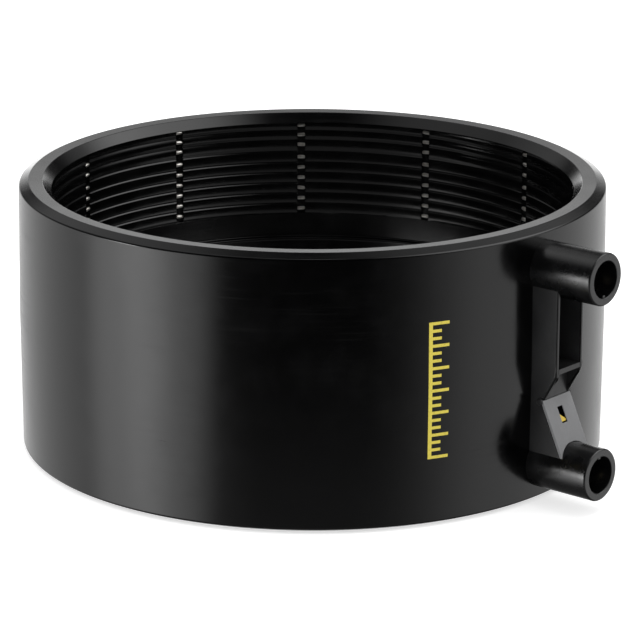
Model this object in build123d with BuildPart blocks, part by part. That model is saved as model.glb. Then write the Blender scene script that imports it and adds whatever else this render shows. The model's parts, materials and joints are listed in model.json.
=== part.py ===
"""Electrofusion coupler for 200 mm polyethylene pipe.

A moulded sleeve holds one heating winding of coated wire, laid in two bands with a link between
them. Two contact pins stand in the shrouds on the +X side, and a small indicator sits in the
housing between the shrouds. The origin is the centre of the lower end face, and +Z is the bore.
All sizes are in millimetres.
"""

import os
from math import cos, degrees, radians, sin, sqrt, tan

from build123d import *

# Sleeve
coupler_height = 106.0
bore_radius = 101.0
wall_thickness = 13.0  # at mid-height, outside the bore
wall_draft = 0.55  # degrees, from mid-height towards each end
lead_in_flare = 3.3  # from the bore out to the flat end face
lead_in_depth = 3.8
end_face_width = 5.4
end_chamfer_length = 4.5
end_blend_radius = 6.0

# Centre stop, where the two pipe ends meet
stop_height = 2.4
stop_tip_width = 1.2
stop_root_width = 3.6

# Heating winding, one band to each socket
coat_thickness = 2.0
winding_clearance = 0.05
edge_margin = 1.0  # from the foot of the lead-in to the first wire
outer_turns = 3
outer_pitch = 4.1
inner_turns = 6
inner_pitch = 4.4
lead_gap = 1.1  # strip at the terminal, where the wire enters the band
groove_depth = 0.45
slot_count = 12
slot_width = 3.4
slot_depth = 1.25
first_slot_angle = 13.5
link_width = 3.4
link_angle = 183.0
wire_tail_radius = 0.7
wire_tail_length = 5.0

# Terminal shrouds and contact pins
terminal_offset = 37.7  # from mid-height to each shroud's axis
shroud_outer_radius = 10.0
shroud_inner_radius = 7.0
shroud_length = 26.3  # from the sleeve's widest point to the mouth
shroud_depth = 22.8
shroud_edge_radius = 0.7
key_width = 1.4
key_height = 0.9
key_setback = 0.6
pin_radius = 2.0
pin_tip_setback = 7.8
pin_tip_chamfer = 0.6
flange_radius = 4.5
flange_thickness = 2.4
tail_radius = 1.6
insert_clearance = 0.05

# Bracket between the shrouds
bracket_width = 16.4
bracket_projection = 11.0  # from the sleeve's widest point
plate_thickness = 1.6
plate_edge_radius = 0.8
bar_height = 1.0  # underside of the cross bar, above mid-height
bar_thickness = 2.0
ledge_projection = 4.0
catch_length = 2.6
catch_height = 1.1

# Indicator housing, its slanted cover and the flag behind the window
cover_slope = 24.85  # degrees from the bore axis
cover_top_step = 1.3  # outwards from the ledge
cover_top_drop = 11.2  # below mid-height
cover_thickness = 1.2
cover_overhang = 0.2
cover_clearance = 0.15
cover_length = 23.6
housing_end_wall = 1.8
window_start = 4.0
window_length = 6.4
window_width = 3.0
flag_clearance = 0.2
flag_recess = 0.5
flag_foot_gap = 0.7
flag_high_side = 3.1  # length of the tip on its tall side
flag_low_side = 0.8
flag_head_width = 5.0
flag_head_length = 6.0
flag_head_thickness = 1.6
flag_head_gap = 0.3
flag_stem_radius = 1.5
flag_stem_depth = 7.0

# Worked out from the sizes above
mid_height = coupler_height / 2
body_radius = bore_radius + wall_thickness
mouth_radius = bore_radius + lead_in_flare
end_face_radius = mouth_radius + end_face_width
stop_radius = bore_radius - stop_height
chamfer_radius = body_radius - tan(radians(wall_draft)) * (mid_height - end_chamfer_length)
band_top = mid_height - lead_in_depth
outer_wires = [band_top - edge_margin - outer_pitch * turn for turn in range(outer_turns)]
lead_gap_top = outer_wires[-1] - outer_pitch / 2
inner_wires = [
    lead_gap_top - lead_gap - inner_pitch * (turn + 0.5) for turn in range(inner_turns)
]
band_bottom = inner_wires[-1] - inner_pitch / 2
winding_radius = bore_radius + coat_thickness
recess_radius = winding_radius + winding_clearance
root_reach = (recess_radius + body_radius) / 2  # inside the sleeve's wall, clear of the winding
shroud_reach = body_radius + shroud_length
bracket_reach = body_radius + bracket_projection
ledge_reach = body_radius + ledge_projection
cover_top_reach = ledge_reach + cover_top_step
plate_middle = (bracket_width - plate_thickness) / 2
shroud_floor = shroud_reach - shroud_depth
shroud_middle_radius = (shroud_outer_radius + shroud_inner_radius) / 2
plate_end = terminal_offset - sqrt(shroud_middle_radius**2 - plate_middle**2)
bracket_inside = bracket_width - 2 * plate_thickness
cover_width = bracket_width + 2 * cover_overhang

wire_heights = outer_wires + inner_wires
window_middle = window_start + window_length / 2
flag_depth = cover_thickness + flag_head_gap  # from the cover's face to the flag's head
sides = {"upper": 1, "lower": -1}

# Direction of the slanted cover, in the section through the axis
slope_out = sin(radians(cover_slope))
slope_down = cos(radians(cover_slope))
cover_face = Plane(
    origin=(cover_top_reach, 0, mid_height - cover_top_drop),
    x_dir=(0, 1, 0),
    z_dir=(slope_down, 0, slope_out),
)


def radial_section(angle: float) -> Plane:
    """Section plane through the bore axis at an angle, with its origin at mid-height."""
    across = Vector(1, 0, 0).rotate(Axis.Z, angle)
    return Plane(origin=(0, 0, mid_height), x_dir=across, z_dir=across.rotate(Axis.Z, -90))


def along_cover(distance: float, depth: float) -> tuple[float, float]:
    """Point in the middle section, a distance down the cover and a depth below its face."""
    reach = cover_top_reach + distance * slope_out - depth * slope_down
    height = -cover_top_drop - distance * slope_down - depth * slope_out
    return (reach, height)


def turn_profile() -> list[tuple[float, float]]:
    """Face of one band from the top down: each turn crests at the bore, with valleys between."""
    points = [(bore_radius, outer_wires[0])]
    for above, below in zip(wire_heights, wire_heights[1:]):
        if above == outer_wires[-1]:
            points.append((bore_radius + groove_depth, lead_gap_top))
            points.append((bore_radius + groove_depth, lead_gap_top - lead_gap))
        else:
            points.append((bore_radius + groove_depth, (above + below) / 2))
        points.append((bore_radius, below))
    return points


def arc_degrees(width: float) -> float:
    """Angle round the bore that a width takes at the bore's own radius."""
    return degrees(width / bore_radius)


def terminal_plane(side: int, reach: float) -> Plane:
    """Plane across a terminal's axis, at a reach from the bore axis."""
    return Plane(
        origin=(reach, 0, mid_height + side * terminal_offset),
        x_dir=(0, 1, 0),
        z_dir=(1, 0, 0),
    )


# ------------------------------------------------------------------ coupler_body
middle_section = radial_section(0)
flag_stem_place = along_cover(window_middle, flag_depth + flag_head_thickness / 2)
flag_stem_plane = Plane(
    origin=(body_radius - flag_stem_depth, 0, mid_height + flag_stem_place[1]),
    x_dir=(0, 1, 0),
    z_dir=(1, 0, 0),
)

with BuildPart() as coupler_body:
    # Sleeve: half of its section, mirrored about mid-height and turned round the bore axis
    with BuildSketch(middle_section) as sleeve_section:
        with BuildLine():
            Polyline(
                (body_radius, 0),
                (stop_radius, 0),
                (stop_radius, stop_tip_width / 2),
                (bore_radius, stop_root_width / 2),
                (bore_radius, band_bottom),
                (recess_radius, band_bottom),
                (recess_radius, band_top),
                (bore_radius, band_top),
                (mouth_radius, mid_height),
                (end_face_radius, mid_height),
                (chamfer_radius, mid_height - end_chamfer_length),
                close=True,
            )
        make_face()
        fillet(sleeve_section.vertices().sort_by(Axis.X)[-2], radius=end_blend_radius)
        mirror(about=Plane.XZ)
    revolve(axis=Axis.Z)

    # Side plates of the bracket, which are also the cheeks of the indicator housing
    seat_length = (plate_end - cover_top_drop - cover_thickness * slope_out) / slope_down
    for side in (1, -1):
        with BuildSketch(middle_section.offset(side * plate_middle)):
            with BuildLine():
                Polyline(
                    (root_reach, plate_end),
                    (bracket_reach, plate_end),
                    (bracket_reach, bar_height),
                    along_cover(0, 0),
                    along_cover(0, cover_thickness),
                    along_cover(seat_length, cover_thickness),
                    (root_reach, -plate_end),
                    close=True,
                )
            make_face()
        extrude(amount=plate_thickness / 2, both=True)
    plate_edges = coupler_body.edges().filter_by(Axis.Z).group_by(Axis.X)[-1].sort_by(Axis.Y)
    fillet([plate_edges[0], plate_edges[-1]], radius=plate_edge_radius)

    # Catches that hold the top corners of the cover
    for side in (1, -1):
        with BuildSketch(middle_section.offset(side * plate_middle)):
            with Locations(along_cover(0, catch_length / 2)):
                Circle(catch_length / 2)
        extrude(amount=side * (plate_thickness / 2 + catch_height))

    # Cross bar, the ledge under it and the end wall of the housing, between the plates
    end_wall_inside = along_cover(housing_end_wall, cover_thickness)
    with BuildSketch(middle_section):
        with BuildLine():
            Polyline(
                (root_reach, bar_height + bar_thickness),
                (bracket_reach, bar_height + bar_thickness),
                (bracket_reach, bar_height),
                (ledge_reach, bar_height),
                (ledge_reach, -cover_top_drop),
                along_cover(0, cover_thickness),
                end_wall_inside,
                (root_reach, end_wall_inside[1]),
                close=True,
            )
        make_face()
    extrude(amount=bracket_inside / 2, both=True)

    # Room for the cover over its seat
    with BuildSketch(cover_face):
        with Locations((0, -cover_length / 2)):
            Rectangle(cover_width + 2 * cover_clearance, cover_length)
    extrude(amount=cover_thickness, both=True, mode=Mode.SUBTRACT)

    # Shrouds with their sockets and keys, and the seats of the contact pins
    for side in sides.values():
        with BuildSketch(terminal_plane(side, root_reach)):
            Circle(shroud_outer_radius)
        extrude(amount=shroud_reach - root_reach)
        with BuildSketch(terminal_plane(side, shroud_floor)):
            Circle(shroud_inner_radius)
        extrude(amount=shroud_depth, mode=Mode.SUBTRACT)
        with BuildSketch(terminal_plane(side, shroud_floor)):
            with Locations((0, -side * shroud_inner_radius)):
                Rectangle(key_width, 2 * key_height)
        extrude(amount=shroud_depth - key_setback)
        with BuildSketch(terminal_plane(side, shroud_floor)):
            Circle(flange_radius + insert_clearance)
        extrude(amount=-flange_thickness, mode=Mode.SUBTRACT)
        with BuildSketch(terminal_plane(side, shroud_floor)):
            Circle(tail_radius + insert_clearance)
        extrude(amount=bore_radius - shroud_floor, mode=Mode.SUBTRACT)

    # Rounded rims of the shrouds
    rims = coupler_body.edges().filter_by(GeomType.CIRCLE).group_by(Axis.X)[-1]
    fillet(rims.group_by(SortBy.RADIUS)[-1], radius=shroud_edge_radius)

    # Channel for the link between the two bands, behind the centre stop
    with BuildSketch(radial_section(link_angle - arc_degrees(link_width / 2 + winding_clearance))):
        with Locations(((bore_radius + recess_radius) / 2, 0)):
            Rectangle(recess_radius - bore_radius, 2 * band_bottom)
    revolve(
        axis=Axis.Z,
        revolution_arc=arc_degrees(link_width + 2 * winding_clearance),
        mode=Mode.SUBTRACT,
    )

    # Blind hole for the stem of the indicator flag
    with BuildSketch(flag_stem_plane):
        Circle(flag_stem_radius + insert_clearance)
    extrude(amount=flag_stem_place[0] - flag_stem_plane.origin.X, mode=Mode.SUBTRACT)

# ---------------------------------------------------------------- heating_winding
with BuildPart() as heating_winding:
    # Coated turns: two bands, whose crests lie flush with the bore
    with BuildSketch(middle_section):
        with BuildLine():
            Polyline(
                (winding_radius, band_top),
                (bore_radius, band_top),
                *turn_profile(),
                (bore_radius, band_bottom),
                (winding_radius, band_bottom),
                close=True,
            )
        make_face()
        mirror(about=Plane.XZ)
    revolve(axis=Axis.Z)

    # Link between the bands
    with BuildSketch(radial_section(link_angle - arc_degrees(link_width / 2))):
        with Locations(((bore_radius + winding_radius) / 2, 0)):
            Rectangle(coat_thickness, 2 * band_bottom)
    revolve(axis=Axis.Z, revolution_arc=arc_degrees(link_width))

    # Slots across the turns, which leave the wire bare
    for slot in range(slot_count):
        with BuildSketch(radial_section(first_slot_angle + slot * 360 / slot_count)):
            for side in sides.values():
                with Locations((bore_radius, side * (band_top + band_bottom) / 2)):
                    Rectangle(2 * slot_depth, band_top - band_bottom)
        extrude(amount=slot_width / 2, both=True, mode=Mode.SUBTRACT)

    # Ends of the wire, which rise into the contact pins
    for side in sides.values():
        with BuildSketch(terminal_plane(side, winding_radius - coat_thickness / 4)):
            Circle(wire_tail_radius)
        extrude(amount=wire_tail_length)

# -------------------------------------------------- upper and lower contact pins
contact_pins = {}
for name, side in sides.items():
    with BuildPart() as contact_pin:
        with BuildSketch(terminal_plane(side, shroud_floor)):
            Circle(flange_radius)
        extrude(amount=-flange_thickness)
        with BuildSketch(terminal_plane(side, shroud_floor)):
            Circle(pin_radius)
        extrude(amount=shroud_depth - pin_tip_setback)
        tip = contact_pin.faces().sort_by(Axis.X)[-1]
        chamfer(tip.edges(), length=pin_tip_chamfer)
        with BuildSketch(terminal_plane(side, shroud_floor - flange_thickness)):
            Circle(tail_radius)
        extrude(amount=-(shroud_floor - flange_thickness - recess_radius - insert_clearance))
        with BuildSketch(terminal_plane(side, recess_radius)):
            Circle(wire_tail_radius + insert_clearance)
        extrude(amount=wire_tail_length, mode=Mode.SUBTRACT)
    contact_pins[f"{name}_contact_pin"] = contact_pin.part

# ---------------------------------------------------------------- indicator_cover
with BuildPart() as indicator_cover:
    with BuildSketch(cover_face):
        with Locations((0, -cover_length / 2)):
            Rectangle(cover_width, cover_length)
        with Locations((0, -window_middle)):
            Rectangle(window_width, window_length, mode=Mode.SUBTRACT)
    extrude(amount=-cover_thickness)
    # The lower end follows the shroud under it
    with BuildSketch(terminal_plane(sides["lower"], body_radius)):
        Circle(shroud_outer_radius + cover_clearance)
    extrude(amount=shroud_reach - body_radius, mode=Mode.SUBTRACT)

# ----------------------------------------------------------------- indicator_flag
with BuildPart() as indicator_flag:
    tip_half = window_width / 2 - flag_clearance
    tip_foot = -(window_start + window_length - flag_foot_gap)
    with BuildSketch(cover_face.offset(-flag_recess)):
        with BuildLine():
            Polyline(
                (-tip_half, tip_foot),
                (tip_half, tip_foot),
                (tip_half, tip_foot + flag_low_side),
                (-tip_half, tip_foot + flag_high_side),
                close=True,
            )
        make_face()
    extrude(amount=flag_recess - flag_depth)
    with BuildSketch(cover_face.offset(-flag_depth)):
        with Locations((0, -window_middle)):
            Rectangle(flag_head_width, flag_head_length)
    extrude(amount=-flag_head_thickness)
    with BuildSketch(flag_stem_plane.offset(insert_clearance)):
        Circle(flag_stem_radius)
    extrude(amount=flag_stem_place[0] - flag_stem_plane.origin.X - insert_clearance)

# --------------------------------------------------------------------------- write
parts = {
    "coupler_body": coupler_body.part,
    "heating_winding": heating_winding.part,
    **contact_pins,
    "indicator_cover": indicator_cover.part,
    "indicator_flag": indicator_flag.part,
}
os.makedirs("parts", exist_ok=True)
for node, solid in parts.items():
    solid.label = node
    export_step(solid, f"parts/{node}.step")
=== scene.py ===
"""Electrofusion coupler for large polyethylene pipe, dressed and lit in a plain studio.

Each sub-assembly of the coupler is a class: the moulded sleeve with its shrouds and bracket, the
heating winding with its bare wire, the contact pins, the fusion indicator and the printed
alignment scale. Sizes are fields in millimetres and meshes are written in metres, in the frame of
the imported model: the origin at the centre of the lower end face and +Z along the bore.
"""

from __future__ import annotations

import itertools
import json
import logging
import math
from collections.abc import Callable, Iterable, Sequence
from dataclasses import dataclass, field, replace
from enum import Enum

import bmesh
import bpy
import numpy as np
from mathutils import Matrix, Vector


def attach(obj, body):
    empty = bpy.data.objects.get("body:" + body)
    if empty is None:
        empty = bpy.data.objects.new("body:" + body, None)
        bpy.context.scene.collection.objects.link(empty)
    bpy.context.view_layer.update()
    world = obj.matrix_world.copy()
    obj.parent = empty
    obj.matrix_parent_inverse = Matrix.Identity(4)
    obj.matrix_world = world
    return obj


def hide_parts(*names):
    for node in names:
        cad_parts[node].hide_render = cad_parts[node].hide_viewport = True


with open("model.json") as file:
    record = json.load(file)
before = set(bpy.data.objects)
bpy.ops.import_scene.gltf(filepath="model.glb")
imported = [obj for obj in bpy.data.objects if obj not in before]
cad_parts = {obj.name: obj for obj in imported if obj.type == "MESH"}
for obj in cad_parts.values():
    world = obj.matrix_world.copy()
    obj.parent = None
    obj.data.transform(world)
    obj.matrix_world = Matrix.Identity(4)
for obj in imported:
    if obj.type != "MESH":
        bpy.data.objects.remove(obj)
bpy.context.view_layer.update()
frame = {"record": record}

log = logging.getLogger("coupler")

MM = 0.001
ROOT = "root"
WELD = 2e-7  # metres between points that are one
BEVEL_SEGMENTS = 4
BEVEL_ANGLE = 28.0  # degrees, from which an edge is rounded
SHARP_ANGLE = 38.0  # degrees, from which an edge stays sharp
ARC_STEP = 12.0  # degrees between the points of a rounded corner
RAY_KINDS = ("Camera", "Glossy", "Transmission")
Color = tuple[float, float, float]
Point2 = tuple[float, float]


class Side(Enum):
    """End of the coupler that a terminal belongs to."""

    UPPER = 1
    LOWER = -1


class Slot(Enum):
    """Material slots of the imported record."""

    SLEEVE = "black_polyethylene"
    COAT = "winding_coat"
    METAL = "plated_brass"
    COVER = "cover_plastic"
    YELLOW = "yellow_plastic"


# ----------------------------------------------------------------------------- shader graphs


class Graph:
    """Short way to add nodes to one material or world and to join them."""

    def __init__(self, owner: bpy.types.Material | bpy.types.World) -> None:
        """Empties the owner's node tree.

        Args:
            owner: material or world whose nodes are written.
        """
        owner.use_nodes = True
        self.tree = owner.node_tree
        self.tree.nodes.clear()

    def add(self, kind: str, settings: dict | None = None, **sockets: object) -> bpy.types.Node:
        """Adds one node.

        Args:
            kind: node type, without the ShaderNode prefix.
            settings: properties of the node itself.
            **sockets: input values or output sockets, by input name with _ for a space, or by
                index as i0, i1 and so on.

        Returns:
            The new node.
        """
        node = self.tree.nodes.new("ShaderNode" + kind)
        for name, value in (settings or {}).items():
            setattr(node, name, value)
        for name, value in sockets.items():
            key = int(name[1:]) if name[0] == "i" and name[1:].isdigit() else name.replace("_", " ")
            if isinstance(value, bpy.types.NodeSocket):
                self.tree.links.new(value, node.inputs[key])
            else:
                node.inputs[key].default_value = value
        return node

    def math(self, operation: str, *values: object) -> bpy.types.NodeSocket:
        """Adds a Math node.

        Args:
            operation: operation of the node, such as ADD.
            *values: numbers or sockets for its inputs, in order.

        Returns:
            The result socket.
        """
        inputs = {f"i{index}": value for index, value in enumerate(values)}
        return self.add("Math", {"operation": operation}, **inputs).outputs[0]

    def ramp(
        self,
        value: bpy.types.NodeSocket,
        start: float,
        end: float,
        low: float = 0.0,
        high: float = 1.0,
    ) -> bpy.types.NodeSocket:
        """Adds a smooth Map Range.

        Args:
            value: socket to map.
            start: input that gives low.
            end: input that gives high.
            low: result at start.
            high: result at end.

        Returns:
            The mapped value.
        """
        settings = {"interpolation_type": "SMOOTHSTEP"}
        return self.add("MapRange", settings, i0=value, i1=start, i2=end, i3=low, i4=high).outputs[0]

    def noise(
        self, vector: bpy.types.NodeSocket, size: float, detail: float = 2.0, rough: float = 0.5
    ) -> bpy.types.NodeSocket:
        """Adds a noise of a real size.

        Args:
            vector: coordinates in metres.
            size: size of one patch, in millimetres.
            detail: octaves.
            rough: share that each octave keeps.

        Returns:
            The noise, about 0 to 1.
        """
        node = self.add(
            "TexNoise", Vector=vector, Scale=1.0 / (size * MM), Detail=detail, Roughness=rough
        )
        return node.outputs[0]

    def bump(
        self,
        height: bpy.types.NodeSocket,
        depth: float,
        normal: bpy.types.NodeSocket | None = None,
    ) -> bpy.types.NodeSocket:
        """Adds a bump.

        Args:
            height: height map, 0 to 1.
            depth: its full height, in millimetres.
            normal: bump under this one.

        Returns:
            The bent normal.
        """
        node = self.add("Bump", Height=height, Strength=1.0, Distance=depth * MM)
        if normal is not None:
            self.tree.links.new(normal, node.inputs["Normal"])
        return node.outputs[0]

    def place(self) -> bpy.types.NodeSocket:
        """Gives the object's coordinates, in metres."""
        return self.add("TexCoord").outputs["Object"]

    def around_bore(self) -> bpy.types.NodeSocket:
        """Gives coordinates that follow the sleeve: along its girth, along the bore, and radius."""
        split = self.add("SeparateXYZ", Vector=self.place())
        angle = self.math("ARCTAN2", split.outputs[1], split.outputs[0])
        girth = self.math("MULTIPLY", angle, Sleeve.body_radius * MM)
        flat = self.add("CombineXYZ", X=split.outputs[0], Y=split.outputs[1])
        radius = self.add("VectorMath", {"operation": "LENGTH"}, i0=flat.outputs[0]).outputs[1]
        return self.add("CombineXYZ", X=girth, Y=split.outputs[2], Z=radius).outputs[0]

    def blend(
        self, share: bpy.types.NodeSocket, first: Color, second: Color
    ) -> bpy.types.NodeSocket:
        """Mixes two colours.

        Args:
            share: socket that goes from the first colour, at 0, to the second, at 1.
            first: one colour.
            second: the other.

        Returns:
            The mixed colour.
        """
        colors = {"i6": (*first, 1.0), "i7": (*second, 1.0)}
        return self.add("Mix", {"data_type": "RGBA"}, i0=share, **colors).outputs[2]

    def finish(self, shader: bpy.types.Node, kind: str = "OutputMaterial") -> None:
        """Joins the last shader to a new output node.

        Args:
            shader: the last shader.
            kind: type of the output node.
        """
        self.tree.links.new(shader.outputs[0], self.add(kind).inputs["Surface"])


@dataclass(frozen=True)
class Finish:
    """One finish of the coupler.

    Attributes:
        name: name of the material.
        slot: the record's slot for it.
        color: colour of a fresh surface.
        roughness: roughness of a polished surface.
    """

    name: str
    slot: Slot
    color: Color
    roughness: float

    def material(self) -> bpy.types.Material:
        """Gives the material, and builds it when it is first asked for.

        Returns:
            A node material with colour, roughness and relief at real scale.
        """
        material = bpy.data.materials.get(self.name)
        if material is None:
            material = bpy.data.materials.new(self.name)
            graph = Graph(material)
            graph.finish(self.shader(graph, graph.place()))
        return material

    def shader(self, graph: Graph, place: bpy.types.NodeSocket) -> bpy.types.Node:
        """Adds the nodes for this kind of surface.

        Args:
            graph: graph of the material.
            place: coordinates in metres.

        Returns:
            The surface shader.
        """
        raise NotImplementedError


@dataclass(frozen=True)
class MouldedPlastic(Finish):
    """Injection-moulded plastic: fine tool texture, slow flow ripple and light handling marks.

    Attributes:
        worn: colour where it is slightly rubbed or dusty.
        spread: how much the roughness wanders.
        grain: size and height of the tool texture, in millimetres.
        ripple: size and height of the flow ripple, in millimetres.
        hairlines: height of the rubbed hairlines, in millimetres, or 0.
        specular: specular level.
    """

    worn: Color
    spread: float
    grain: Point2
    ripple: Point2
    hairlines: float = 0.0
    specular: float = 0.5

    def shader(self, graph: Graph, place: bpy.types.NodeSocket) -> bpy.types.Node:
        """Adds the clouded colour and roughness, and the relief."""
        cloud = graph.noise(place, 14.0, 3.0, 0.6)
        speck = graph.math("MULTIPLY", graph.noise(place, 0.8, 2.0), 0.35)
        worn = graph.ramp(graph.math("ADD", cloud, speck), 0.6, 0.95)
        low, high = self.roughness - self.spread, self.roughness + self.spread
        rough = graph.ramp(cloud, 0.3, 0.75, low, high)
        normal = graph.bump(graph.noise(place, self.ripple[0], 1.0), self.ripple[1])
        normal = graph.bump(graph.noise(place, self.grain[0], 3.0), self.grain[1], normal)
        if self.hairlines:
            girth = graph.around_bore()
            across = graph.add("Mapping", Vector=girth, Scale=(30.0, 1500.0, 30.0)).outputs[0]
            lines = graph.add("TexNoise", Vector=across, Scale=1.0, Detail=2.0).outputs[0]
            lines = graph.ramp(lines, 0.56, 0.72)
            patch = graph.ramp(graph.noise(place, 45.0, 2.0), 0.48, 0.66)
            marks = graph.math("MULTIPLY", lines, patch)
            normal = graph.bump(marks, self.hairlines, normal)
            rough = graph.math("ADD", rough, graph.math("MULTIPLY", marks, 0.08))
        return graph.add(
            "BsdfPrincipled",
            Base_Color=graph.blend(worn, self.color, self.worn),
            Roughness=rough,
            Normal=normal,
            IOR=1.51,
            Specular_IOR_Level=self.specular,
        )


@dataclass(frozen=True)
class DrawnMetal(Finish):
    """Drawn or turned metal: lines along the work and a thin uneven tarnish.

    Attributes:
        tarnish: colour of the tarnish.
        pitch: spacing of the tool lines, in millimetres.
        axis: axis that the lines run round or across.
    """

    tarnish: Color
    pitch: float
    axis: str

    def shader(self, graph: Graph, place: bpy.types.NodeSocket) -> bpy.types.Node:
        """Adds the tarnish and the tool lines."""
        film = graph.ramp(graph.noise(place, 2.5, 4.0, 0.6), 0.42, 0.7)
        scale = 1.0 / (self.pitch * MM * 20.0)
        settings = {"bands_direction": self.axis}
        lines = graph.add(
            "TexWave", settings, Vector=place, Scale=scale, Distortion=1.5, Detail=2.0
        ).outputs[1]
        return graph.add(
            "BsdfPrincipled",
            Base_Color=graph.blend(film, self.color, self.tarnish),
            Roughness=graph.ramp(film, 0.0, 1.0, self.roughness, self.roughness + 0.16),
            Normal=graph.bump(lines, 0.004),
            Metallic=1.0,
        )


@dataclass(frozen=True)
class PrintedInk(Finish):
    """Pad-printed ink: dense colour, slightly thin in spots, with a soft sheen.

    Attributes:
        thin: colour where the film is thin.
    """

    thin: Color

    def shader(self, graph: Graph, place: bpy.types.NodeSocket) -> bpy.types.Node:
        """Adds the film with its thin spots."""
        thin = graph.ramp(graph.noise(place, 1.1, 4.0, 0.65), 0.52, 0.75)
        return graph.add(
            "BsdfPrincipled",
            Base_Color=graph.blend(thin, self.color, self.thin),
            Roughness=graph.ramp(thin, 0.0, 1.0, self.roughness, self.roughness - 0.12),
            Normal=graph.bump(graph.noise(place, 0.35, 3.0), 0.012),
        )


SLEEVE_BLACK = MouldedPlastic(
    name="moulded_black_polyethylene",
    slot=Slot.SLEEVE,
    color=(0.0009, 0.0009, 0.0010),
    worn=(0.0018, 0.0018, 0.0020),
    roughness=0.175,
    spread=0.03,
    grain=(0.45, 0.0022),
    ripple=(38.0, 0.05),
    hairlines=0.003,
)
SHROUD_BLACK = MouldedPlastic(
    name="moulded_black_bracket",
    slot=Slot.SLEEVE,
    color=(0.0025, 0.0025, 0.0027),
    worn=(0.0080, 0.0080, 0.0085),
    roughness=0.27,
    spread=0.06,
    grain=(0.35, 0.006),
    ripple=(7.0, 0.06),
    specular=0.7,
)
# Same black polyethylene as the sleeve, but with a much lighter base colour. This is painted light:
# the grey stands for light that the plates, cross bar and catches catch. The satin roughness is
# their own.
PLATE_BLACK_PAINTED_LIGHT = MouldedPlastic(
    name="satin_black_bracket",
    slot=Slot.SLEEVE,
    color=(0.0140, 0.0140, 0.0146),
    worn=(0.0230, 0.0230, 0.0238),
    roughness=0.36,
    spread=0.06,
    grain=(0.35, 0.012),
    ripple=(7.0, 0.05),
)
COAT_BLACK = MouldedPlastic(
    name="black_wire_coat",
    slot=Slot.COAT,
    color=(0.0009, 0.0009, 0.0010),
    worn=(0.0018, 0.0018, 0.0020),
    roughness=0.20,
    spread=0.05,
    grain=(0.6, 0.004),
    ripple=(9.0, 0.03),
)
# Near black: the flag carrier's own colour, and painted shade on the thin sheet that lines the
# window's walls.
INSIDE_BLACK_AND_PAINTED_SHADE = replace(COAT_BLACK, name="black_inside", slot=Slot.SLEEVE)
# Light grey base colour: painted sheen. It stands for the bright area that the black satin cover
# reflects.
COVER_GREY_PAINTED_SHEEN = MouldedPlastic(
    name="satin_grey_cover",
    slot=Slot.COVER,
    color=(0.205, 0.206, 0.211),
    worn=(0.240, 0.241, 0.246),
    roughness=0.38,
    spread=0.05,
    grain=(0.3, 0.006),
    ripple=(6.0, 0.03),
)
FLAG_YELLOW = MouldedPlastic(
    name="yellow_indicator_plastic",
    slot=Slot.YELLOW,
    color=(0.80, 0.56, 0.06),
    worn=(0.72, 0.47, 0.05),
    roughness=0.34,
    spread=0.05,
    grain=(0.3, 0.004),
    ripple=(4.0, 0.02),
)
SCALE_YELLOW = PrintedInk(
    name="yellow_scale_ink",
    slot=Slot.YELLOW,
    color=(0.80, 0.66, 0.085),
    thin=(0.58, 0.48, 0.07),
    roughness=0.42,
)
HEATING_WIRE = DrawnMetal(
    name="bare_resistance_wire",
    slot=Slot.METAL,
    color=(0.78, 0.76, 0.72),
    tarnish=(0.50, 0.47, 0.43),
    roughness=0.32,
    pitch=0.25,
    axis="Z",
)
PLATED_PIN = DrawnMetal(
    name="plated_contact_brass",
    slot=Slot.METAL,
    color=(0.78, 0.66, 0.42),
    tarnish=(0.60, 0.47, 0.28),
    roughness=0.20,
    pitch=0.3,
    axis="X",
)


# -------------------------------------------------------------------------------- mesh tools


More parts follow.
